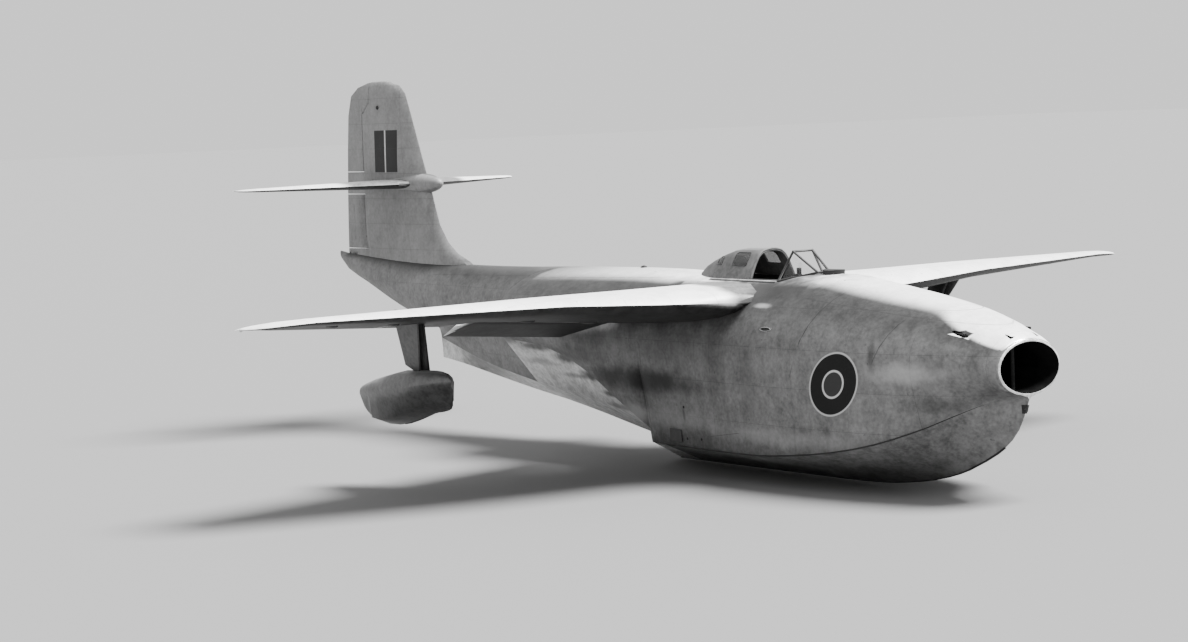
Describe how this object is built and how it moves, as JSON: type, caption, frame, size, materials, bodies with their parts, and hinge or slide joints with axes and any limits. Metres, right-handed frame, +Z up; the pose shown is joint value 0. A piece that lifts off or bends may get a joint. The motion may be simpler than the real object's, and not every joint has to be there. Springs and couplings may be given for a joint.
{
  "type": "twin-jet fighter flying boat",
  "caption": "Single-seat flying boat with a deep stepped hull, oval nose intake, shoulder wing on lowered tip floats, sliding hood, mid-fin tailplane and hinged control surfaces.",
  "frame": {"origin": "on the centreline at the waterline, 0.75 m above the keel, over the heel of the main step", "axes": "+X forward to the nose intake, +Y to port, +Z up"},
  "size_m": [15.24, 14.02, 5.192],
  "materials": {
    "silver_skin": "weathered silver-grey dope over riveted aluminium sheet",
    "bright_metal": "bare polished lip",
    "duct_lining": "dark matt paint",
    "heat_stained_steel": "heat-stained",
    "gun_steel": "oiled dark steel",
    "grey_paint": "satin grey",
    "clear_glass": "clear",
    "brown_leather": "worn",
    "panel_black": "matt black crackle"
  },
  "bodies": {
    "airframe": {"intake_lip": "bright_metal", "intake_splitter": "duct_lining", "hull_bow": "silver_skin", "hull_cockpit": "silver_skin", "hull_centre": "silver_skin", "hull_afterbody": "silver_skin", "tail_boom": "silver_skin", "engine_starboard": "heat_stained_steel", "engine_port": "heat_stained_steel", "jet_nozzle_starboard": "heat_stained_steel", "jet_nozzle_port": "heat_stained_steel", "cannon_outer_starboard": "gun_steel", "cannon_outer_port": "gun_steel", "cannon_inner_starboard": "gun_steel", "cannon_inner_port": "gun_steel", "wing_starboard": "silver_skin", "wing_port": "silver_skin", "fin": "silver_skin", "tail_bullet": "silver_skin", "tailplane_starboard": "silver_skin", "tailplane_port": "silver_skin", "float_starboard": "silver_skin", "float_port": "silver_skin", "float_leg_starboard": "grey_paint", "float_leg_port": "grey_paint", "float_door_starboard": "grey_paint", "float_door_port": "grey_paint", "windscreen_frame": "silver_skin", "windscreen_pane_front": "clear_glass", "windscreen_pane_starboard": "clear_glass", "windscreen_pane_port": "clear_glass", "seat": "grey_paint", "headrest": "brown_leather", "instrument_panel": "panel_black", "control_column": "panel_black", "mooring_eye": "gun_steel", "beaching_pad_starboard": "gun_steel", "beaching_pad_port": "gun_steel"},
    "canopy": {"canopy_hood": "silver_skin", "canopy_window_fore_starboard": "clear_glass", "canopy_window_fore_port": "clear_glass", "canopy_window_aft_starboard": "clear_glass", "canopy_window_aft_port": "clear_glass"},
    "rudder": {"rudder_lower": "silver_skin", "rudder_upper": "silver_skin"},
    "elevators": {"elevator_starboard": "silver_skin", "elevator_port": "silver_skin"},
    "aileron_starboard": {"aileron_starboard": "silver_skin"},
    "aileron_port": {"aileron_port": "silver_skin"},
    "flap_starboard": {"flap_starboard": "silver_skin"},
    "flap_port": {"flap_port": "silver_skin"}
  },
  "joints": [
    {"name": "canopy_slide", "type": "slide", "parent": "airframe", "child": "canopy", "axis": [1, 0, 0], "range_m": [0, 0.5]},
    {"name": "rudder_turn", "type": "hinge", "parent": "airframe", "child": "rudder", "pos_m": [-7.76, 0, 2.885], "axis": [0, 0, 1], "range_deg": [-25, 25]},
    {"name": "elevator_turn", "type": "hinge", "parent": "airframe", "child": "elevators", "pos_m": [-7.41, 0, 2.885], "axis": [0, -1, 0], "range_deg": [-25, 20]},
    {"name": "aileron_starboard_turn", "type": "hinge", "parent": "airframe", "child": "aileron_starboard", "pos_m": [0.54337, -4.6, 1.42758], "axis": [0.1171, -0.9921, 0.045], "range_deg": [-20, 20]},
    {"name": "aileron_port_turn", "type": "hinge", "parent": "airframe", "child": "aileron_port", "pos_m": [0.54337, 4.6, 1.42758], "axis": [-0.1171, -0.9921, -0.045], "range_deg": [-20, 20]},
    {"name": "flap_starboard_turn", "type": "hinge", "parent": "airframe", "child": "flap_starboard", "pos_m": [0.14368, -1.215, 1.27395], "axis": [0.1171, -0.9921, 0.045], "range_deg": [-9, 36]},
    {"name": "flap_port_turn", "type": "hinge", "parent": "airframe", "child": "flap_port", "pos_m": [0.14368, 1.215, 1.27395], "axis": [-0.1171, -0.9921, -0.045], "range_deg": [-9, 36]}
  ],
  "couplings": [
    {"joint": "aileron_port_turn", "follows": "aileron_starboard_turn", "ratio": -1},
    {"joint": "flap_port_turn", "follows": "flap_starboard_turn", "ratio": 1}
  ]
}
